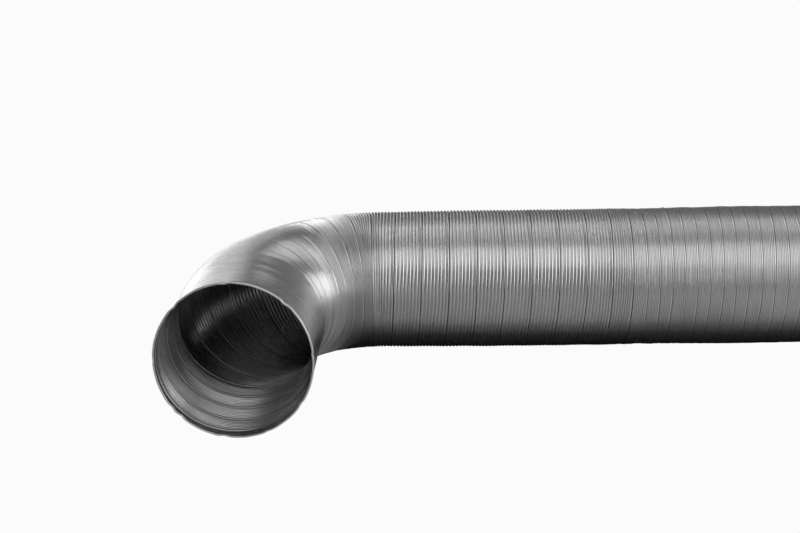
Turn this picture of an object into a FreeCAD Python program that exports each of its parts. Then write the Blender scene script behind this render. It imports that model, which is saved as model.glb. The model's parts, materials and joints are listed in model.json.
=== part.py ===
"""Semi-rigid flexible air duct with a 125 mm bore.

The whole duct is one aluminium strip, rolled with fine ribs and wound into a tube: each turn of the strip
hooks into the next at a folded lock seam.  The duct lies on a flat surface.  Its long run is along +X, it
turns through a little over a right angle, and its open mouth faces -Y and slightly up.

Every turn of the strip is one solid between two planes square to the centre line.  Odd turns carry the lock
seams and keep their shape.  Even turns are the ribbed wall that opens, closes and bends between them.
"""

import FreeCAD, Part

import os
from math import cos, radians, sin

from FreeCAD import Matrix, Placement, Vector

# Section of the tube, mm
BORE_RADIUS = 62.5            # clear inside: slips over a 125 mm spigot
WALL = 0.6                    # radial thickness of the ribbed strip
SEAM_RADIUS = 64.5            # outside, over a lock seam
RIB_CREST_RADIUS = 64.1       # outside, over a rib
RIB_VALLEY_RADIUS = BORE_RADIUS + WALL

# The strip
TURN_COUNT = 44
RIBS_PER_TURN = 8
SEAM_SHARE = 0.11             # share of a turn's length that the fold at each of its ends takes
SEAM_FLAT = 0.75              # share of that fold that stands at the seam's full height
PLAY = 0.3                    # gap between an even turn and the turn that moves against it

# The centre line, from the mouth to the tail
NECK_TURNS = 4
NECK_LENGTH = 91.0
ELBOW_TURNS = 8
ELBOW_RADIUS = 104.0
ELBOW_ANGLE = radians(92.0)
MOUTH_TILT = radians(5.7)     # the mouth looks up by this much
TILT_LENGTH = 60.0            # distance from the mouth over which the tube curves up

# The long run: pulled open beside the elbow, packed together towards the tail
OPEN_PITCH = 25.0
PACKED_PITCH = 11.6
OPEN_UNTIL = 6.5              # turns of the run after which the pitch starts to fall
PACKED_FROM = 10.5            # turns of the run after which the strip is packed

# Folded edge at each end of the tube
EDGE_LENGTH = 7.0
EDGE_WALL = 0.8
BEAD_LENGTH = 1.8
BEAD_CHAMFER = 0.4

ELBOW_LENGTH = ELBOW_RADIUS * ELBOW_ANGLE
RUN_START = NECK_LENGTH + ELBOW_LENGTH
FIRST_RUN_TURN = NECK_TURNS + ELBOW_TURNS + 1


def smoothstep(value):
    """0 below 0, 1 above 1 and smooth between."""
    share = min(1.0, max(0.0, value))
    return share * share * (3.0 - 2.0 * share)


def pitch(turn):
    """Length of a turn along the centre line.  Turns count from 1 at the mouth."""
    if turn <= NECK_TURNS:
        return (NECK_LENGTH - EDGE_LENGTH) / NECK_TURNS
    if turn < FIRST_RUN_TURN:
        return ELBOW_LENGTH / ELBOW_TURNS
    along = turn - FIRST_RUN_TURN
    packed = smoothstep((along - OPEN_UNTIL) / (PACKED_FROM - OPEN_UNTIL))
    return OPEN_PITCH + (PACKED_PITCH - OPEN_PITCH) * packed


def turn_span(turn):
    """Distances from the mouth, along the centre line, of the two planes that bound a turn."""
    start = EDGE_LENGTH + sum(pitch(earlier) for earlier in range(1, turn))
    return start, start + pitch(turn)


def tail_distance():
    """Distance from the mouth to the tail's last plane."""
    return turn_span(TURN_COUNT)[1] + EDGE_LENGTH


def centre_line(distance):
    """Centre of the tube and its direction towards the tail, at a distance from the mouth."""
    if distance >= RUN_START:
        return Vector(distance - RUN_START, 0, SEAM_RADIUS), Vector(1, 0, 0)
    turned = min(ELBOW_ANGLE, (RUN_START - distance) / ELBOW_RADIUS)
    centre = Vector(-ELBOW_RADIUS * sin(turned), ELBOW_RADIUS * (cos(turned) - 1), SEAM_RADIUS)
    level = Vector(cos(turned), sin(turned), 0)
    centre -= level * max(0.0, NECK_LENGTH - distance)
    ramp = TILT_LENGTH - EDGE_LENGTH
    into_tilt = min(ramp, max(0.0, TILT_LENGTH - distance))
    past_tilt = max(0.0, EDGE_LENGTH - distance)
    tilt = MOUTH_TILT * into_tilt / ramp
    centre.z += MOUTH_TILT * into_tilt**2 / (2 * ramp) + past_tilt * sin(tilt)
    return centre, level * cos(tilt) - Vector(0, 0, sin(tilt))


def section_placement(distance):
    """Placement whose Z axis runs along the tube and whose X axis points to the top of the section."""
    centre, ahead = centre_line(distance)
    side = ahead.cross(Vector(0, 0, 1)).normalize()
    top = side.cross(ahead)
    across = ahead.cross(top)
    return Placement(Matrix(
        top.x, across.x, ahead.x, centre.x,
        top.y, across.y, ahead.y, centre.y,
        top.z, across.z, ahead.z, centre.z,
        0, 0, 0, 1))


def rib_profile(has_seams):
    """Outline of one turn's wall as (share of the turn's length, outside radius), end to end."""
    first = SEAM_SHARE if has_seams else 0.0
    steps = 2 * RIBS_PER_TURN
    points = []
    if has_seams:
        points += [(0.0, SEAM_RADIUS), (first * SEAM_FLAT, SEAM_RADIUS)]
    for step in range(steps + 1):
        radius = RIB_CREST_RADIUS if step % 2 else RIB_VALLEY_RADIUS
        points.append((first + (1 - 2 * first) * step / steps, radius))
    if has_seams:
        points += [(1 - first * SEAM_FLAT, SEAM_RADIUS), (1.0, SEAM_RADIUS)]
    return points


def revolved(outline, placement):
    """Solid of revolution about the placement's Z axis, from (distance along, radius) corners."""
    corners = [Vector(radius, 0, along) for along, radius in outline]
    face = Part.Face(Part.makePolygon(corners + corners[:1]))
    solid = face.revolve(Vector(0, 0, 0), Vector(0, 0, 1), 360)
    solid.Placement = placement
    return solid


def straight_turn(start, end, profile):
    """A turn of the straight run: the wall's outline revolved about the centre line."""
    length = end - start
    outside = [(share * length, radius) for share, radius in profile]
    inside = [(share * length, radius - WALL) for share, radius in reversed(profile)]
    return revolved(outside + inside, section_placement(start))


def section_circle(distance, radius):
    circle = Part.Wire(Part.makeCircle(radius))
    circle.Placement = section_placement(distance)
    return circle


def is_flat(face):
    return isinstance(face.Surface, Part.Plane)


def bent_turn(start, end, profile):
    """A turn where the tube curves: ruled bands between circles that lie square to the centre line."""
    distances = [start + share * (end - start) for share, _ in profile]
    outside = [section_circle(d, radius) for d, (_, radius) in zip(distances, profile)]
    inside = [section_circle(d, radius - WALL) for d, (_, radius) in zip(distances, profile)]
    filled = Part.makeLoft(outside, True, True)
    hollow = Part.makeLoft(inside, True, True)
    faces = [face for face in filled.Faces + hollow.Faces if not is_flat(face)]
    for disc, hole in zip(filter(is_flat, filled.Faces), filter(is_flat, hollow.Faces)):
        faces += disc.cut(hole).Faces
    return Part.Solid(Part.Shell(faces))


def strip_turn(turn):
    """One turn of the strip.  An even turn stops short of the turn that moves against it."""
    start, end = turn_span(turn)
    keeps_shape = turn % 2 == 1 or turn == TURN_COUNT
    if not keeps_shape and turn < FIRST_RUN_TURN:
        start += PLAY
    elif not keeps_shape:
        end -= PLAY
    build = straight_turn if turn >= FIRST_RUN_TURN else bent_turn
    return build(start, end, rib_profile(has_seams=turn % 2 == 1))


def edge_fold(distance, into_tube):
    """Folded edge of the strip at an end of the tube: a short plain collar with a beaded lip."""
    outer = BORE_RADIUS + EDGE_WALL
    outline = [
        (0, BORE_RADIUS), (0, SEAM_RADIUS - BEAD_CHAMFER), (BEAD_CHAMFER, SEAM_RADIUS),
        (BEAD_LENGTH - BEAD_CHAMFER, SEAM_RADIUS), (BEAD_LENGTH, SEAM_RADIUS - BEAD_CHAMFER),
        (BEAD_LENGTH, outer), (EDGE_LENGTH, outer), (EDGE_LENGTH, BORE_RADIUS)]
    outline = [(into_tube * along, radius) for along, radius in outline]
    return revolved(outline, section_placement(distance))


def duct_solids():
    """Every piece of the duct by name, with the long run's axis still at Y = 0."""
    solids = {f"strip_turn_{turn:02d}": strip_turn(turn) for turn in range(1, TURN_COUNT + 1)}
    solids["mouth_edge_fold"] = edge_fold(0.0, into_tube=1)
    solids["tail_edge_fold"] = edge_fold(tail_distance(), into_tube=-1)
    return solids


def base_centre(solids):
    """Middle of the underside of the box round all the pieces: the duct's origin."""
    box = Part.Compound(list(solids.values())).optimalBoundingBox(False, False)
    return Vector((box.XMin + box.XMax) / 2, (box.YMin + box.YMax) / 2, box.ZMin)


pieces = duct_solids()
origin = base_centre(pieces)
os.makedirs("parts", exist_ok=True)
for name, piece in pieces.items():
    piece.translate(-origin)
    if not piece.isValid():
        raise ValueError(f"{name} is not a valid solid")
    piece.exportStep(f"parts/{name}.step")
print("origin", origin, "pieces", len(pieces))
print("volume, cubic mm", sum(piece.Volume for piece in pieces.values()))
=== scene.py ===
import json
from math import cos, pi, radians, sin, tau

import bpy
import numpy as np
from mathutils import Matrix, Vector


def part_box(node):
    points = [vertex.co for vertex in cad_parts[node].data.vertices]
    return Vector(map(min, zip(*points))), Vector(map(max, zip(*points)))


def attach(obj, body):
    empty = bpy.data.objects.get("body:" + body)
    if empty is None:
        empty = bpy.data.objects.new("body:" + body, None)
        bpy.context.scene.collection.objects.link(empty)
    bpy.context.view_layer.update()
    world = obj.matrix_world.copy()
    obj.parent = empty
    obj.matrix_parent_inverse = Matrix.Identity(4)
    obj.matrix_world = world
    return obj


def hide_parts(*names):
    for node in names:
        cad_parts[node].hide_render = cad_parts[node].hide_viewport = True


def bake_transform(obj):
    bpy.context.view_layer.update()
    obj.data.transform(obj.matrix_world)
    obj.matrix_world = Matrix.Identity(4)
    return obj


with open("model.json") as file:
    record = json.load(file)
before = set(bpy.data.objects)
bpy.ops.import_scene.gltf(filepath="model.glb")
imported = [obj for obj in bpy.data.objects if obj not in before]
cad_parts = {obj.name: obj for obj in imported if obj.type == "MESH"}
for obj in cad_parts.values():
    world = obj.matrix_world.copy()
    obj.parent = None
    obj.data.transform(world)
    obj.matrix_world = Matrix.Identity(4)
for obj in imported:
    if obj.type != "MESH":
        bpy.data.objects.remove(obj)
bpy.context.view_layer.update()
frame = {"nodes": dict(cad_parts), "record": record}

MM = 0.001

# ---------------------------------------------------------------- the centre line, from the frame

NECK_TURNS = 4
ELBOW_TURNS = 8
FIRST_RUN_TURN = NECK_TURNS + ELBOW_TURNS + 1
TURN_COUNT = sum(name.startswith("strip_turn_") for name in frame["nodes"])
TILT_LENGTH = 60 * MM              # from the mouth, the length over which the tube curves up


def turn_node(turn):
    return f"strip_turn_{turn:02d}"


def mount(name):
    """Middle of a bore mount, its outward axis and its length, in metres."""
    found = next(m for m in frame["record"]["mounts"] if m["name"] == name)
    return np.array(found["pos_m"]), np.array(found["axis"]), found["dims"]["length_mm"] * MM


def solve_centre_line():
    """Where the run starts, the elbow's sweep, the mouth's tilt, and the elbow's radius, neck and edge."""
    low, high = (np.array(corner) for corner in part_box(turn_node(FIRST_RUN_TURN)))
    run_end = np.array([low[0], (low[1] + high[1]) / 2, (low[2] + high[2]) / 2])
    place, axis, edge = mount("mouth_bore")
    sweep = np.arctan2(-axis[1], -axis[0])
    tilt = np.arcsin(axis[2])
    steps = np.array([[-sin(sweep), -cos(sweep)], [cos(sweep) - 1, -sin(sweep)]])
    radius, neck = np.linalg.solve(steps, (place - run_end)[:2])
    return run_end, sweep, tilt, radius, neck + edge / 2, edge


RUN_END, SWEEP, MOUTH_TILT, ELBOW_RADIUS, NECK_LENGTH, EDGE_LENGTH = solve_centre_line()
ELBOW_LENGTH = ELBOW_RADIUS * SWEEP
RUN_START = NECK_LENGTH + ELBOW_LENGTH


def centre_line(distance):
    """Centre of the tube and its direction towards the tail, at distances from the mouth."""
    turned = np.clip((RUN_START - distance) / ELBOW_RADIUS, 0, SWEEP)
    flat = np.zeros_like(turned)
    level = np.stack([np.cos(turned), np.sin(turned), flat], -1)
    centre = RUN_END + ELBOW_RADIUS * np.stack([-np.sin(turned), np.cos(turned) - 1, flat], -1)
    straight = np.maximum(distance - RUN_START, 0) - np.maximum(NECK_LENGTH - distance, 0)
    centre = centre + level * straight[..., None]
    ramp = TILT_LENGTH - EDGE_LENGTH
    into_tilt = np.clip(TILT_LENGTH - distance, 0, ramp)
    lift = MOUTH_TILT * into_tilt / ramp
    centre[..., 2] += MOUTH_TILT * into_tilt**2 / (2 * ramp) \
        + np.maximum(EDGE_LENGTH - distance, 0) * np.sin(lift)
    ahead = level * np.cos(lift)[..., None]
    ahead[..., 2] -= np.sin(lift)
    return centre, ahead


def on_section(distance, angle, radius):
    """Points of the tube: angle runs from the top of the section round its inner-bend side."""
    centre, ahead = centre_line(distance)
    side = np.stack([ahead[..., 1], -ahead[..., 0], np.zeros_like(distance)], -1)
    side /= np.linalg.norm(side, axis=-1, keepdims=True)
    top = np.cross(side, ahead)
    return centre + (radius * np.cos(angle))[..., None] * top + (radius * np.sin(angle))[..., None] * side


def turn_ends():
    """Distance from the mouth of the strip's start and of the plane at the end of every turn."""
    neck = EDGE_LENGTH + (NECK_LENGTH - EDGE_LENGTH) * np.arange(NECK_TURNS + 1) / NECK_TURNS
    elbow = NECK_LENGTH + ELBOW_LENGTH * np.arange(1, ELBOW_TURNS + 1) / ELBOW_TURNS
    ends = list(neck) + list(elbow)
    for turn in range(FIRST_RUN_TURN, TURN_COUNT + 1):
        if turn % 2 or turn == TURN_COUNT:
            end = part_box(turn_node(turn))[1][0]
        else:
            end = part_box(turn_node(turn + 1))[0][0]
        ends.append(end - RUN_END[0] + RUN_START)
    return np.array(ends)


TURN_ENDS = turn_ends()


def distance_at(turns):
    """Distance from the mouth after a number of turns, smooth from one turn's length to the next's."""
    slopes = np.gradient(TURN_ENDS)
    turn = np.clip(np.floor(turns).astype(int), 0, TURN_COUNT - 1)
    into_turn = turns - turn
    t = np.clip(into_turn, 0, 1)
    curve = TURN_ENDS[turn] * (2 * t**3 - 3 * t**2 + 1) + TURN_ENDS[turn + 1] * (3 * t**2 - 2 * t**3) \
        + slopes[turn] * (t**3 - 2 * t**2 + t) + slopes[turn + 1] * (t**3 - t**2)
    return curve + (into_turn - t) * np.where(into_turn > 1, slopes[turn + 1], slopes[turn])


# ---------------------------------------------------------------- the strip's sizes

RIBS_PER_TURN = 8                  # the first of them is the lock seam
STEPS_PER_TURN = 96                # samples along the tube in one turn, and round it
STEPS_PER_RIB = STEPS_PER_TURN // RIBS_PER_TURN
SEAM_ROW = 64                      # sample at which the first seam crosses the top
UNDER_MOUTH_EDGE = 20              # samples by which the strip runs on under a folded edge
UNDER_TAIL_EDGE = 8
MEAN_RADIUS = 63.55 * MM           # of the ribbed wall
WALL = 0.25 * MM
THINNEST_WALL = 0.1 * MM           # under the seam's groove
RIB_FOIL = 4.25 * MM               # flat length of foil in one rib
LEAST_RIB = 0.2 * MM               # height of the foil in a rib pulled flat, in the neck and the elbow
LEAST_RUN_RIB = 0.95 * MM          # and in the run
ELBOW_RIBS_ABOVE = 0.12            # share of a rib's height left on top of the neck and the elbow
ELBOW_RIBS_BELOW = 0.32            # and underneath them
RUN_RIBS = 0.98
UNEVEN_RIBS = 0.14
ELBOW_INNER_RELIEF = 0.45 * MM     # how much deeper the rib floors are inside the tube
RUN_INNER_RELIEF = 0.12 * MM
PACKED_PITCH = 12 * MM             # length of a turn at which its ribs are fully packed
LOOSE_PITCH = 19 * MM              # and at which they stand free
PACKS_FROM = 15                    # turns from the mouth before which nothing packs

# The lock seam: its width, and the length of a turn below which it narrows
SEAM_WIDTH = 2.75 * MM
SEAM_PITCH = 14 * MM
# Its section: distance across it, height as a share of a rib's, and the groove in it
SEAM_ACROSS = np.array([0, 0.12, 0.3, 0.6, 1.1, 1.55, 1.95, 2.15, 2.2, 2.36, 2.54, 2.64]) * MM
SEAM_HEIGHT = np.array([0, 0.2, 0.5, 0.75, 0.88, 0.92, 0.9, 0.8, 0.2, 0, 0, 0])
SEAM_GROOVE = np.array([0, 0, 0, 0, 0, 0, 0, 0, 0.2, 0.36, 0.3, 0.08]) * MM

# How far the turns lean along the tube
ELBOW_PUSH = 13 * MM               # inside the bend, towards the run
NEAR_LEAN = 5 * MM                 # the run's near side where it leaves the elbow, towards the tail
FAR_LEAN = 9 * MM                  # the same side near the tail, back towards the mouth
UNEVEN_TURNS = 0.28 * MM

# How far handling has moved the wall in or out
RAGGED_SEAMS = 0.55 * MM           # where the duct starts to pack
RAGGED_WALL = 0.22 * MM
OVAL_SECTION = 0.3 * MM
SOFT_WAVES = 0.16 * MM
RAISED_TOP = 0.8 * MM              # where the run leaves the elbow
PRESSED_IN = 3.2 * MM              # low on the inside of the bend
# Small dents: turn, angle round the tube, size in turns, size in degrees, depth in mm
DENTS = (
    (5.6, 332, 0.10, 5, 0.8), (9.4, 352, 0.08, 4, -0.9), (8.3, 12, 0.12, 7, 0.5), (3.2, 20, 0.25, 12, 0.3),
    (14.6, 40, 0.3, 9, 0.35), (17.2, 300, 0.25, 8, 0.4), (20.5, 75, 0.3, 7, 0.35), (24.4, 20, 0.5, 9, 0.5),
    (27.7, 340, 0.7, 10, 0.4), (31.5, 55, 0.8, 8, 0.35), (36.0, 280, 0.8, 10, 0.5), (40.1, 10, 0.8, 8, 0.4))

# ---------------------------------------------------------------- the strip's shape

# Places along the tube are counted in turns from the mouth. Angles round it run from the top towards the
# inside of the bend.

WAVE_COUNT = 7
WAVE_SCALE = 0.75 * 1.4 * WAVE_COUNT**0.5          # brings the sum of the waves to about -1 to 1


def rise(value, start, end):
    """0 up to start, 1 from end on and smooth between."""
    share = np.clip((value - start) / (end - start), 0, 1)
    return share * share * (3 - 2 * share)


def hump(value, middle, width):
    """1 in the middle, falling smoothly to 0 on both sides."""
    return np.exp(-((value - middle) / width)**2)


def angle_from(angle, place):
    """Angle round the tube from a place given in degrees, the short way."""
    return (angle - radians(place) + pi) % tau - pi


def waves(turns, angle, seed, round_up_to, along_up_to):
    """Smooth random field of about -1 to 1 over the tube, the same on each run and closed round the tube."""
    draw = np.random.default_rng(seed)
    total = np.zeros_like(turns)
    for _ in range(WAVE_COUNT):
        total += draw.uniform(0.4, 1.0) * np.sin(
            draw.integers(-round_up_to, round_up_to + 1) * angle
            + draw.uniform(-along_up_to, along_up_to) * tau * turns + draw.uniform(0, tau))
    return total / WAVE_SCALE


def lean(turns, angle):
    """How far the strip leans along the tube, towards the tail."""
    push = ELBOW_PUSH * rise(turns, 1.5, 5.5) * (1 - rise(turns, 6.5, 13.5))
    side = NEAR_LEAN * rise(turns, 7, 12) - FAR_LEAN * rise(turns, 13, 35)
    side *= 1 - rise(turns, TURN_COUNT - 6, TURN_COUNT - 1)
    return push * hump(angle, radians(80), radians(52)) + side * np.sin(angle)


def stretch(turns, angle):
    """Length on the tube's surface for each unit of length on its centre line."""
    middle = distance_at(turns)
    ease = 6 * MM
    bent = rise(middle, NECK_LENGTH - ease, NECK_LENGTH + ease) \
        * (1 - rise(middle, RUN_START - ease, RUN_START + ease))
    return 1 - bent * MEAN_RADIUS / ELBOW_RADIUS * np.sin(angle)


def local_pitch(turns, angle):
    """Length of one turn of the strip on the tube's surface, at a place on the tube."""
    step = 0.02                    # of a turn
    ahead = distance_at(turns + step) + lean(turns + step, angle)
    behind = distance_at(turns - step) + lean(turns - step, angle)
    return (ahead - behind) / (2 * step) * stretch(turns, angle)


def over_seam(profile, sample):
    """A profile of the lock seam at samples of a turn, and 0 beside the seam."""
    on_seam = sample < STEPS_PER_RIB
    return np.where(on_seam, profile[np.where(on_seam, sample, 0)], 0)


def into_run(turns):
    """0 in the neck and the elbow, 1 in the run."""
    return rise(turns, 6.2, 10.2)


def across_turn(sample, pitch, squeeze):
    """Distance across a turn: the seam keeps its width and the ribs share what is left."""
    seam_width = SEAM_WIDTH * squeeze
    rib_share = (sample - STEPS_PER_RIB) / (STEPS_PER_TURN - STEPS_PER_RIB)
    on_ribs = seam_width + rib_share * (pitch - seam_width)
    return np.where(sample < STEPS_PER_RIB, over_seam(SEAM_ACROSS, sample) * squeeze, on_ribs)


def rib_height(turns, angle, pitch, squeeze, packed):
    """Height of the ribs: a share of what their foil allows, lower where the strip is packed or squeezed."""
    in_run = into_run(turns)
    in_elbow = ELBOW_RIBS_ABOVE + (ELBOW_RIBS_BELOW - ELBOW_RIBS_ABOVE) * (1 - np.cos(angle)) / 2
    share = in_elbow * (1 - in_run) + RUN_RIBS * in_run
    least = LEAST_RIB + (LEAST_RUN_RIB - LEAST_RIB) * rise(turns, 6.5, 10.5)
    height = np.sqrt(np.maximum((RIB_FOIL / 2)**2 - (pitch / (2 * RIBS_PER_TURN))**2, least**2))
    height *= share * (1 - 0.45 * packed) * (1 + UNEVEN_RIBS * waves(turns, angle, 5, 4, 1.5))
    return height * np.where(turns < PACKS_FROM, squeeze**1.5, 1.0)


def wear(turns, angle, strip_angle, seam):
    """How far handling has moved the wall out. The strip's own angle runs on from turn to turn."""
    ragged = rise(turns, 19.5, 22) * (1 - 0.8 * rise(turns, 25, 29))
    bumps = np.maximum(0, np.sin(1.37 * strip_angle + 0.6) + 0.4 * np.sin(2.9 * strip_angle))
    moved = ragged * (RAGGED_SEAMS * bumps * seam + RAGGED_WALL * waves(turns, angle, 11, 2, 6.0))
    moved += OVAL_SECTION * np.sin(2 * angle + 0.5 * turns) + SOFT_WAVES * waves(turns, angle, 7, 4, 0.7)
    moved += RAISED_TOP * rise(turns, 9.5, 11.5) * (1 - rise(turns, 14, 19)) * (1 + np.cos(angle)) / 2
    moved -= PRESSED_IN * hump(turns, 8.5, 2.6) * hump(angle, radians(122), radians(30))
    for at_turn, at_angle, turn_size, angle_size, depth in DENTS:
        moved -= depth * MM * hump(turns, at_turn, turn_size) \
            * hump(angle_from(angle, at_angle), 0, radians(angle_size))
    return moved


def strip_surface(rows, columns):
    """Outer and inner points of the wound strip on a grid of samples along and round the tube."""
    row, column = np.meshgrid(rows, columns, indexing="ij")
    turns = row / STEPS_PER_TURN
    angle = column / STEPS_PER_TURN * tau
    unwound = row + column - SEAM_ROW
    sample = unwound % STEPS_PER_TURN
    on_seam = sample < STEPS_PER_RIB
    pitch = local_pitch(turns, angle)
    squeeze = np.minimum(1, pitch / SEAM_PITCH)
    packed = rise(turns, PACKS_FROM, PACKS_FROM + 3) * (1 - rise(pitch, PACKED_PITCH, LOOSE_PITCH))

    across = across_turn(sample, pitch, squeeze)
    along = distance_at(turns) + lean(turns, angle) \
        + (across - pitch * sample / STEPS_PER_TURN) / stretch(turns, angle) \
        + UNEVEN_TURNS * waves(turns, angle, 3, 3, 0.8) * rise(turns, 0, 2)

    height = rib_height(turns, angle, pitch, squeeze, packed)
    arch = np.sin(pi * (sample % STEPS_PER_RIB) / STEPS_PER_RIB)
    seam = over_seam(SEAM_HEIGHT, sample)
    crest = np.where(on_seam, seam, np.abs(arch)**(0.85 - 0.45 * packed))   # packed ribs are fuller
    strip_angle = angle - tau * np.floor(unwound / STEPS_PER_TURN)
    radius = MEAN_RADIUS + height * (crest - 0.5) + wear(turns, angle, strip_angle, seam)
    groove = over_seam(SEAM_GROOVE, sample) * (1 + 0.8 * packed)
    outer = on_section(along, angle, radius - groove)

    relief = ELBOW_INNER_RELIEF + (RUN_INNER_RELIEF - ELBOW_INNER_RELIEF) * into_run(turns)
    relief = relief * rise(turns, 0, 0.5) * (1 - arch) * ~on_seam
    inner = on_section(along, angle, radius - np.maximum(WALL, groove + THINNEST_WALL) - relief)
    return outer, inner


# ---------------------------------------------------------------- meshes

# The bake map: the outer face below, the inner face above it, and a thin row at the top for each end
BAKE_LEFT = 0.01
BAKE_BOTTOM = 0.005
BAKE_SPAN = 0.98
BAKE_FIRST_END = 0.996
BAKE_LAST_END = 0.993
BAKE_END_HEIGHT = 0.002

# The strip map, in metres: along the strip, and across it from one seam to the next
STRIP_LENGTH = tau * MEAN_RADIUS   # strip in one turn round the tube
STRIP_BREADTH = 25 * MM
INNER_FACE = 1.0                   # added to the distance across the strip on its inner face


def closed_mesh(name, points, corners, counts, bake_uv, strip_uv, sharp_pairs):
    """A mesh from points, the corner indexes of its faces and their counts, with its two UV maps."""
    mesh = bpy.data.meshes.new(name)
    mesh.vertices.add(len(points))
    mesh.vertices.foreach_set("co", points.astype(np.float32).ravel())
    mesh.loops.add(len(corners))
    mesh.loops.foreach_set("vertex_index", corners.astype(np.int32))
    mesh.polygons.add(len(counts))
    mesh.polygons.foreach_set("loop_start", np.concatenate([[0], np.cumsum(counts)[:-1]]).astype(np.int32))
    mesh.update(calc_edges=True)
    for layer, values in (("OFBake", bake_uv), ("strip", strip_uv)):
        mesh.uv_layers.new(name=layer).uv.foreach_set("vector", values.astype(np.float32).ravel())
    mesh.uv_layers.active = mesh.uv_layers["OFBake"]
    mesh.uv_layers["OFBake"].active_render = True
    mesh.shade_smooth()
    if len(sharp_pairs):
        ends = np.zeros(len(mesh.edges) * 2, np.int64)
        mesh.edges.foreach_get("vertices", ends)
        ends = np.sort(ends.reshape(-1, 2), axis=1)
        wanted = np.sort(sharp_pairs, axis=1)
        sharp = np.isin(ends[:, 0] * len(points) + ends[:, 1], wanted[:, 0] * len(points) + wanted[:, 1])
        mesh.attributes.new("sharp_edge", "BOOLEAN", "EDGE").data.foreach_set("value", sharp)
    mesh.validate(clean_customdata=False)
    piece = bpy.data.objects.new(name, mesh)
    bpy.context.scene.collection.objects.link(piece)
    return piece


def strip_piece(name, first_row, last_row):
    """A length of the tube between two planes as a closed thin wall, and its points' shares of the length."""
    rows = np.arange(first_row, last_row + 1)
    columns = np.arange(STEPS_PER_TURN)
    outer, inner = strip_surface(rows, columns)
    last, around = len(rows) - 1, len(columns)
    points = np.concatenate([outer.reshape(-1, 3), inner.reshape(-1, 3)])
    shell_size = len(rows) * around
    corners, counts, bake, strip, sharp = [], [], [], [], []

    def index(row, column):
        return row * around + column % around

    def add_wall(row_set, column_set, phase, shell):
        """Faces of one shell from their corners' rows and columns. The phase tells which turn each is on."""
        if shell == 0:
            row_set, column_set = row_set[:, ::-1], column_set[:, ::-1]
        corners.append((index(row_set, column_set) + shell * shell_size).ravel())
        counts.append(np.full(len(row_set), row_set.shape[1]))
        u, v = column_set / around, (row_set / last + shell) / 2
        bake.append(np.stack([u * BAKE_SPAN + BAKE_LEFT, v * BAKE_SPAN + BAKE_BOTTOM], -1).reshape(-1, 2))
        winding = np.floor((phase - SEAM_ROW + first_row) / STEPS_PER_TURN)[:, None]
        share = (row_set + column_set - SEAM_ROW + first_row) / STEPS_PER_TURN - winding
        across = share * STRIP_BREADTH + shell * INNER_FACE
        strip.append(np.stack([(u - winding) * STRIP_LENGTH, across], -1).reshape(-1, 2))

    def add_end(at_row, bake_from, flip):
        """The ring of faces that closes the wall at one end, with sharp edges."""
        a, b = index(at_row, columns), index(at_row, columns + 1)
        ring = np.stack([a, b, b + shell_size, a + shell_size], -1)
        u = np.stack([columns, columns + 1, columns + 1, columns], -1) / around
        v = np.tile([0, 0, BAKE_END_HEIGHT, BAKE_END_HEIGHT], (around, 1)) + bake_from
        ring_uv = np.stack([u * BAKE_SPAN + BAKE_LEFT, v], -1)
        if flip:
            ring, ring_uv = ring[:, ::-1], ring_uv[:, ::-1]
        corners.append(ring.ravel())
        counts.append(np.full(around, 4))
        bake.append(ring_uv.reshape(-1, 2))
        strip.append(np.zeros((around * 4, 2)))
        sharp.extend([np.stack([a, b], -1), np.stack([a + shell_size, b + shell_size], -1)])

    # diamonds along the strip's winding, and triangles that fill in at the two planes
    row, column = (grid.ravel() for grid in np.meshgrid(np.arange(1, last), columns, indexing="ij"))
    diamond_rows = np.stack([row, row - 1, row, row + 1], -1)
    diamond_columns = np.stack([column, column + 1, column + 1, column], -1)
    first_rows = np.tile([0, 0, 1], (around, 1))
    first_columns = np.stack([columns, columns + 1, columns], -1)
    last_rows = np.tile([last, last - 1, last], (around, 1))
    last_columns = np.stack([columns, columns + 1, columns + 1], -1)
    for shell in (0, 1):
        add_wall(diamond_rows, diamond_columns, row + column, shell)
        add_wall(first_rows, first_columns, columns, shell)
        add_wall(last_rows, last_columns, last + columns, shell)
    add_end(0, BAKE_FIRST_END, flip=False)
    add_end(last, BAKE_LAST_END, flip=True)

    piece = closed_mesh(name, points, np.concatenate(corners), np.concatenate(counts),
                        np.concatenate(bake), np.concatenate(strip), np.concatenate(sharp))
    return piece, np.repeat((rows - first_row) / (last_row - first_row), around)


def follow_both(piece, first_turn, last_turn):
    """Bakes the piece's placement into its mesh; the centres of the two turns are worked out but not used, so
    the piece neither opens nor bends.
    """
    start, end = (Vector(centre_line(distance_at(np.array(float(t))))[0]) for t in (first_turn, last_turn))
    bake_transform(piece)


# ---------------------------------------------------------------- the folded edges

# Section of the fold: distance in from the tube's end and radius, in mm, once round
HEM = np.array([
    (5.3, 63.78), (5.35, 64.02), (5.1, 64.14), (4.2, 64.2), (3.2, 64.26), (2.4, 64.34), (1.7, 64.44),
    (1.1, 64.46), (0.55, 64.38), (0.2, 64.2), (0.02, 63.9), (0.0, 63.5), (0.02, 63.2), (0.12, 62.96),
    (0.35, 62.84), (0.7, 62.8), (1.2, 62.8), (1.7, 62.82), (2.2, 62.82), (2.6, 62.84), (2.8, 62.88),
    (2.82, 62.94), (2.7, 63.02), (2.4, 63.12), (2.2, 63.3), (2.6, 63.6)])
HEM_STEPS_ROUND = 480
HEM_BREADTH = 20 * MM              # once round the section, on the strip map
HEM_PINCHED = 6 * MM               # pinches die out at this distance in
HEM_UNEVEN = 0.12 * MM
HEM_RIPPLES = 0.08 * MM
HEM_CRUMPLE = 0.05 * MM
HEM_WANDER = 0.15 * MM             # along the tube
PINCH_PUSH = 0.3                   # share of a pinch's depth by which it pushes the lip in along the tube
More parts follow.
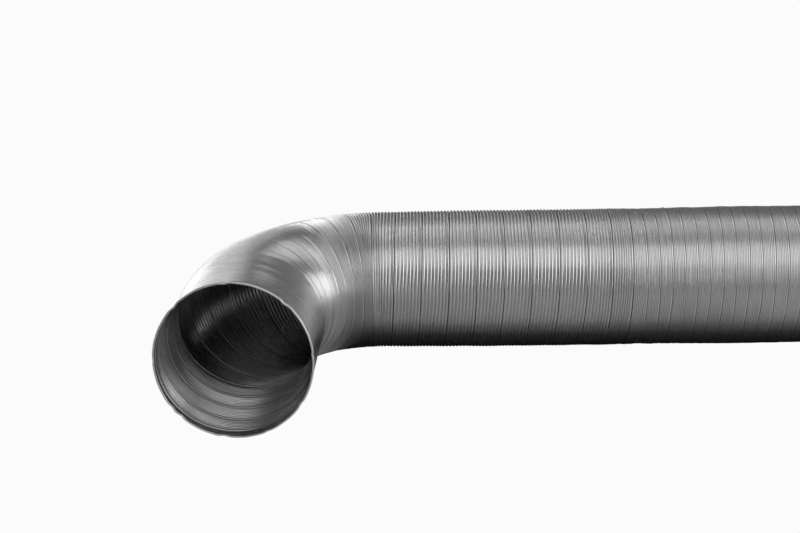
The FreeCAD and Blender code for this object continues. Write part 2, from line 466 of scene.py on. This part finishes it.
# Places where the folded edge was pinched: angle round the mouth, width in degrees, depth in mm
PINCHES = (
    (-44, 2.6, 0.8), (-39, 1.5, -0.25), (-3, 2.2, 0.7), (2, 1.4, -0.25), (43, 2.6, 0.9), (48, 1.6, -0.25),
    (87, 2.0, 0.6), (126, 2.4, 0.6), (158, 2.0, 0.35), (190, 3.0, 0.8), (196, 1.8, -0.25),
    (225, 2.0, 0.8), (234, 2.2, 0.7), (272, 2.0, 0.4))


def folded_edge(name, start, into_tube, turned):
    """The strip's end turned back on itself and pinched flat, as a ring with a rounded lip."""
    columns = np.arange(HEM_STEPS_ROUND)
    around = len(columns)
    angle = columns / around * tau
    depth_in = HEM[:, 0][:, None]
    along = np.tile(depth_in * MM, (1, around))
    radius = np.tile(HEM[:, 1][:, None] * MM, (1, around))
    near_lip = np.clip(1 - along / HEM_PINCHED, 0, 1)
    for at, width, depth in PINCHES:
        pinch = hump(angle_from(angle, at + turned), 0, radians(width)) * near_lip
        radius -= depth * MM * pinch
        along += PINCH_PUSH * abs(depth) * MM * pinch
    level = np.zeros_like(angle)
    crumple = np.sin(9 * angle + 1.1 * depth_in) * np.sin(23 * angle - 0.8 * depth_in)
    radius += HEM_UNEVEN * waves(level, angle, 21, 9, 0.0) + HEM_CRUMPLE * crumple
    radius += HEM_RIPPLES * waves(level, angle, 22, 30, 0.0) * near_lip
    along += HEM_WANDER * waves(level, angle, 23, 12, 0.0)
    points = on_section(start + into_tube * along, np.tile(angle, (len(HEM), 1)), radius)

    ring, column = (grid.ravel() for grid in np.meshgrid(np.arange(len(HEM)), columns, indexing="ij"))
    ring_set = np.stack([ring, ring, ring + 1, ring + 1], -1)
    column_set = np.stack([column, column + 1, column + 1, column], -1)
    if into_tube < 0:
        ring_set, column_set = ring_set[:, ::-1], column_set[:, ::-1]
    corners = ring_set % len(HEM) * around + column_set % around
    u, v = column_set / around, ring_set / len(HEM)
    bake = np.stack([u * BAKE_SPAN + BAKE_LEFT, v * BAKE_SPAN + BAKE_LEFT], -1).reshape(-1, 2)
    strip = np.stack([u * STRIP_LENGTH, v * HEM_BREADTH], -1).reshape(-1, 2)
    return closed_mesh(name, points.reshape(-1, 3), corners.ravel(), np.full(len(corners), 4),
                       bake, strip, np.zeros((0, 2), np.int64))


# ---------------------------------------------------------------- finishes

class Value:
    """A number that changes over a surface. Operators on it add Math nodes."""

    def __init__(self, finish, socket):
        self.finish, self.socket = finish, socket

    def math(self, operation, *values):
        inputs = dict(enumerate(values))
        return self.finish.node("ShaderNodeMath", {"operation": operation}, inputs).value()

    def __add__(self, other):
        return self.math("ADD", self, other)

    def __radd__(self, other):
        return self.math("ADD", other, self)

    def __sub__(self, other):
        return self.math("SUBTRACT", self, other)

    def __rsub__(self, other):
        return self.math("SUBTRACT", other, self)

    def __mul__(self, other):
        return self.math("MULTIPLY", self, other)

    def __rmul__(self, other):
        return self.math("MULTIPLY", other, self)

    def sine(self):
        return self.math("SINE", self)

    def size(self):
        return self.math("ABSOLUTE", self)

    def between(self, low, high):
        """0 below low, 1 above high and smooth between."""
        settings = {"interpolation_type": "SMOOTHSTEP"}
        values = {"Value": self, "From Min": low, "From Max": high}
        return self.finish.node("ShaderNodeMapRange", settings, values).value("Result")


class Node:
    """A node of a finish, for the values that come out of it."""

    def __init__(self, finish, node):
        self.finish, self.node = finish, node

    def value(self, name=0):
        return Value(self.finish, self.node.outputs[name])


class Finish:
    """A node tree under construction."""

    def __init__(self, tree):
        self.tree = tree
        tree.nodes.clear()

    def node(self, kind, settings=None, values=None):
        """Any node: its settings first, then the values or links of its sockets."""
        node = self.tree.nodes.new(kind)
        for name, setting in (settings or {}).items():
            setattr(node, name, setting)
        for name, value in (values or {}).items():
            if isinstance(value, Value):
                self.tree.links.new(value.socket, node.inputs[name])
            else:
                node.inputs[name].default_value = value
        return Node(self, node)

    def mix(self, share, first, second):
        """A colour between two others. Sockets 6 and 7 and output 2 are the Mix node's colours."""
        return self.node("ShaderNodeMix", {"data_type": "RGBA"}, {0: share, 6: first, 7: second}).value(2)

    def noise(self, place, scale, detail):
        values = {"Vector": place, "Scale": scale, "Detail": detail}
        return self.node("ShaderNodeTexNoise", {}, values).value("Fac")

    def diffuse(self, level):
        return self.node("ShaderNodeBsdfDiffuse", {}, {"Color": grey(level)}).value()


def grey(level):
    return (level, level, level, 1.0)


def new_material(name):
    material = bpy.data.materials.new(name)
    material.use_nodes = True
    return material, Finish(material.node_tree)


# Where the lock seam's gap opens and closes, across the strip map, and where the painted shade beside the
# seam on the inner face ends
GAP_OPENS = (1.9 * MM, 2.3 * MM)
GAP_CLOSES = (2.9 * MM, 3.5 * MM)
INNER_SEAM_SHADE_ENDS = (0.5 * MM, 1.1 * MM)
STREAKS = (9, 2600)                # fine rolling streaks: noise cells in a metre along and across the strip
BANDS = (5, 260)                   # broader streaks
SMEARS = 14.0                      # soft smears: noise cells in a metre
# Colour of the painted shade in the rib floors and seams, and of the grime in the seams
GRIME_AND_SHADE = grey(0.1)


def metal_finish(name, tone, shade, roughness, streak_height):
    """Rolled aluminium: rolling streaks along the strip, soft smears, and painted shade in the rib floors,
    the lock seams and inside the tube, with some grime at the seams.
    """
    material, finish = new_material(name)
    place = finish.node("ShaderNodeUVMap", {"uv_map": "strip"}).value("UV")
    parts = finish.node("ShaderNodeSeparateXYZ", {}, {"Vector": place})
    inner_face = parts.value("Y").between(0.4 * INNER_FACE, 0.6 * INNER_FACE)
    along, across = parts.value("X"), parts.value("Y") - INNER_FACE * inner_face

    def drawn_out(cells, detail):
        """Noise drawn out along the strip."""
        stretched = {"X": along * cells[0], "Y": across * cells[1]}
        return finish.noise(finish.node("ShaderNodeCombineXYZ", {}, stretched).value(), 1.0, detail)

    rolling, bands = drawn_out(STREAKS, 3.0), drawn_out(BANDS, 2.0)
    dull = finish.noise(finish.node("ShaderNodeTexCoord").value("Object"), SMEARS, 3.0).between(0.45, 0.75)
    # Lock seam mask: on the outer face a dark joint, partly painted shade in its crevice; on the inner face
    # painted shade over the seam's step
    seam_joint_and_shade = across.between(*GAP_OPENS) * (1 - across.between(*GAP_CLOSES)) \
        + inner_face * (1 - across.between(*INNER_SEAM_SHADE_ENDS))
    # Painted shade: the floors between the ribs are darkened, more on the inner face
    rib_floor_shade = 1 - (across * (pi * RIBS_PER_TURN / STRIP_BREADTH)).sine().size().between(0.0, 0.4)
    # Streaks, bands and smears are the metal's own tone; the inner face is painted darker as the shade inside
    # the tube
    streaks_and_inside_shade = 0.16 * rolling + 0.18 * bands + 0.12 * dull + 0.4 * inner_face
    # Share of the painted shade and grime colour, at the seams and in the rib floors
    grime_and_shade = 0.75 * seam_joint_and_shade + rib_floor_shade * (0.3 + 0.25 * inner_face) * (1 - seam_joint_and_shade)
    colour = finish.mix(grime_and_shade, finish.mix(streaks_and_inside_shade, (*tone, 1.0), (*shade, 1.0)), GRIME_AND_SHADE)
    rough = roughness + 0.05 * dull + 0.07 * (rolling - 0.5) + 0.12 * seam_joint_and_shade
    relief = streak_height * rolling + 0.15 * bands
    bump = finish.node(
        "ShaderNodeBump", {}, {"Height": relief, "Strength": 0.08, "Distance": 0.05 * MM}).value()
    shader = finish.node("ShaderNodeBsdfPrincipled", {}, {
        "Base Color": colour, "Metallic": 1.0, "Roughness": rough, "Normal": bump}).value()
    finish.node("ShaderNodeOutputMaterial", {}, {"Surface": shader})
    return material


strip_metal = metal_finish("rolled aluminium strip", (0.80, 0.80, 0.805), (0.45, 0.45, 0.455), 0.27, 0.8)
edge_metal = metal_finish("pressed aluminium edge", (0.90, 0.90, 0.905), (0.74, 0.74, 0.75), 0.36, 0.4)


# ---------------------------------------------------------------- the duct

def dress(piece, material, slot, *nodes):
    piece.data.materials.append(material)
    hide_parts(*nodes)


def build_strip():
    """A wall for each joint, between the middles of two turns that keep their shape, and one at each end."""
    half = STEPS_PER_TURN // 2
    first, _ = strip_piece("strip_at_mouth", -UNDER_MOUTH_EDGE, half)
    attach(first, "turn_01")
    dress(first, strip_metal, "aluminium_strip", turn_node(1))
    for turn in range(1, TURN_COUNT - 1, 2):
        start = turn * STEPS_PER_TURN - half
        name = f"strip_turns_{turn:02d}_to_{turn + 2:02d}"
        piece, shares = strip_piece(name, start, start + 2 * STEPS_PER_TURN)
        follow_both(piece, turn - 0.5, turn + 1.5)
        dress(piece, strip_metal, "aluminium_strip", turn_node(turn + 1), turn_node(turn + 2))
    end = TURN_COUNT * STEPS_PER_TURN
    last, _ = strip_piece("strip_at_tail", end - STEPS_PER_TURN - half, end + UNDER_TAIL_EDGE)
    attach(last, f"turn_{TURN_COUNT - 1:02d}")
    dress(last, strip_metal, "aluminium_strip", turn_node(TURN_COUNT))


def build_edges():
    mouth = folded_edge("folded_edge_at_mouth", 0.0, into_tube=1, turned=0)
    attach(mouth, "turn_01")
    dress(mouth, edge_metal, "folded_edge", "mouth_edge_fold")
    tail = folded_edge("folded_edge_at_tail", TURN_ENDS[-1] + EDGE_LENGTH, into_tube=-1, turned=150)
    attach(tail, f"turn_{TURN_COUNT - 1:02d}")
    dress(tail, edge_metal, "folded_edge", "tail_edge_fold")


build_strip()
build_edges()


# ---------------------------------------------------------------- studio

PALE = grey(0.965)                 # floor and background, as the viewer sees them
ROOM_LIGHT = grey(0.13)            # what the background throws on the duct
FLOOR_HALF = 30.0
FLOOR_HEIGHT = -0.2 * MM           # just under the duct
CARD_HEIGHT = -0.1 * MM
CARD_BEFORE_RUN = 40 * MM
CARD_PAST_TAIL = 100 * MM
LAMP_POWER = 4                     # watts for each square metre of a lamp with a radiance of 1
ELBOW = (-0.25, 0.0, 0.1)


def flat_sheet(name, low, high, height):
    """A level rectangle between two corners, x and y."""
    mesh = bpy.data.meshes.new(name)
    corners = [(low[0], low[1], 0), (high[0], low[1], 0), (high[0], high[1], 0), (low[0], high[1], 0)]
    mesh.from_pydata(corners, [], [(0, 1, 2, 3)])
    sheet = bpy.data.objects.new(name, mesh)
    sheet.location.z = height
    bpy.context.scene.collection.objects.link(sheet)
    return sheet


def studio_floor():
    floor = flat_sheet("floor", (-FLOOR_HALF, -FLOOR_HALF), (FLOOR_HALF, FLOOR_HALF), FLOOR_HEIGHT)
    material, finish = new_material("pale paper")
    seen = finish.node("ShaderNodeLightPath").value("Is Camera Ray")
    glow = finish.node("ShaderNodeEmission", {}, {"Color": PALE, "Strength": 1.0}).value()
    surface = finish.node("ShaderNodeMixShader", {}, {0: seen, 1: finish.diffuse(0.58), 2: glow}).value()
    finish.node("ShaderNodeOutputMaterial", {}, {"Surface": surface})
    floor.data.materials.append(material)


def floor_card(name, level, start, end):
    """A dark card beside or under the run, hidden from the viewer: painted shade, a sheet that keeps the
    run's underside dark in its reflections.
    """
    low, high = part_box(turn_node(FIRST_RUN_TURN))[0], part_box("tail_edge_fold")[1]
    near, far = (low.x - CARD_BEFORE_RUN, low.y + start), (high.x + CARD_PAST_TAIL, low.y + end)
    card = flat_sheet(name, near, far, CARD_HEIGHT)
    card.visible_camera = False
    material, finish = new_material(name)
    finish.node("ShaderNodeOutputMaterial", {}, {"Surface": finish.diffuse(level)})
    card.data.materials.append(material)


def studio_room():
    world = bpy.data.worlds.new("pale room")
    world.use_nodes = True
    bpy.context.scene.world = world
    finish = Finish(world.node_tree)
    seen = finish.node("ShaderNodeLightPath").value("Is Camera Ray")
    back = finish.node("ShaderNodeBackground", {}, {"Color": finish.mix(seen, ROOM_LIGHT, PALE)}).value()
    finish.node("ShaderNodeOutputWorld", {}, {"Surface": back})


def softbox(name, centre, target, width, height, radiance):
    """A soft rectangular lamp facing a target."""
    lamp = bpy.data.lights.new(name, "AREA")
    lamp.shape = "RECTANGLE"
    lamp.size, lamp.size_y = width, height
    lamp.energy = radiance * width * height * LAMP_POWER
    stand = bpy.data.objects.new(name, lamp)
    stand.location = centre
    stand.rotation_euler = (Vector(target) - Vector(centre)).to_track_quat("-Z", "Y").to_euler()
    bpy.context.scene.collection.objects.link(stand)


def studio_camera():
    """The viewer stands in front of the run and looks down on it, a little to the left."""
    place = Vector((-0.08283, -0.90477, 0.40777))
    down, left, roll = 0.32591, 0.06235, -0.03519      # radians
    ahead = Vector((-sin(left) * cos(down), cos(left) * cos(down), -sin(down)))
    level = Vector((cos(left), sin(left), 0))
    up = level.cross(ahead)
    right = level * cos(roll) + up * sin(roll)
    above = up * cos(roll) - level * sin(roll)
    camera = bpy.data.cameras.new("camera")
    camera.sensor_width = 36
    camera.lens = 48.7
    camera.clip_start, camera.clip_end = 0.01, 100
    stand = bpy.data.objects.new("camera", camera)
    stand.matrix_world = Matrix((
        (right.x, above.x, -ahead.x, place.x),
        (right.y, above.y, -ahead.y, place.y),
        (right.z, above.z, -ahead.z, place.z),
        (0, 0, 0, 1)))
    bpy.context.scene.collection.objects.link(stand)
    bpy.context.scene.camera = stand


studio_floor()
studio_room()
softbox("front box", (0.35, -0.97, 1.5), (0.2, 0.07, 0.06), width=2.1, height=1.15, radiance=0.82)
softbox("overhead box", (0.1, -0.15, 1.8), (0.1, 0.0, 0.0), width=2.6, height=0.5, radiance=0.08)
softbox("high right box", (0.35, 0.58, 1.6), ELBOW, width=1.3, height=0.6, radiance=1.05)
softbox("back left box, high", (-1.1, 1.2, 1.1), ELBOW, width=1.6, height=0.9, radiance=0.38)
softbox("back left box, low", (-1.3, 1.35, 0.26), ELBOW, width=1.6, height=0.5, radiance=1.05)
softbox("left box", (-1.7, 0.6, 0.6), (-0.25, 0.0, 0.08), width=1.4, height=1.2, radiance=1.3)
softbox("right box", (1.4, -0.42, 0.55), (-0.2, -0.05, 0.06), width=2.5, height=1.0, radiance=1.2)
# Painted shade: grey and black cards under the run, seen only in its reflections
floor_card("grey card", 0.25, start=-12 * MM, end=8 * MM)
floor_card("black card", 0.05, start=8 * MM, end=129 * MM)
studio_camera()
bpy.context.scene.view_settings.view_transform = "Standard"
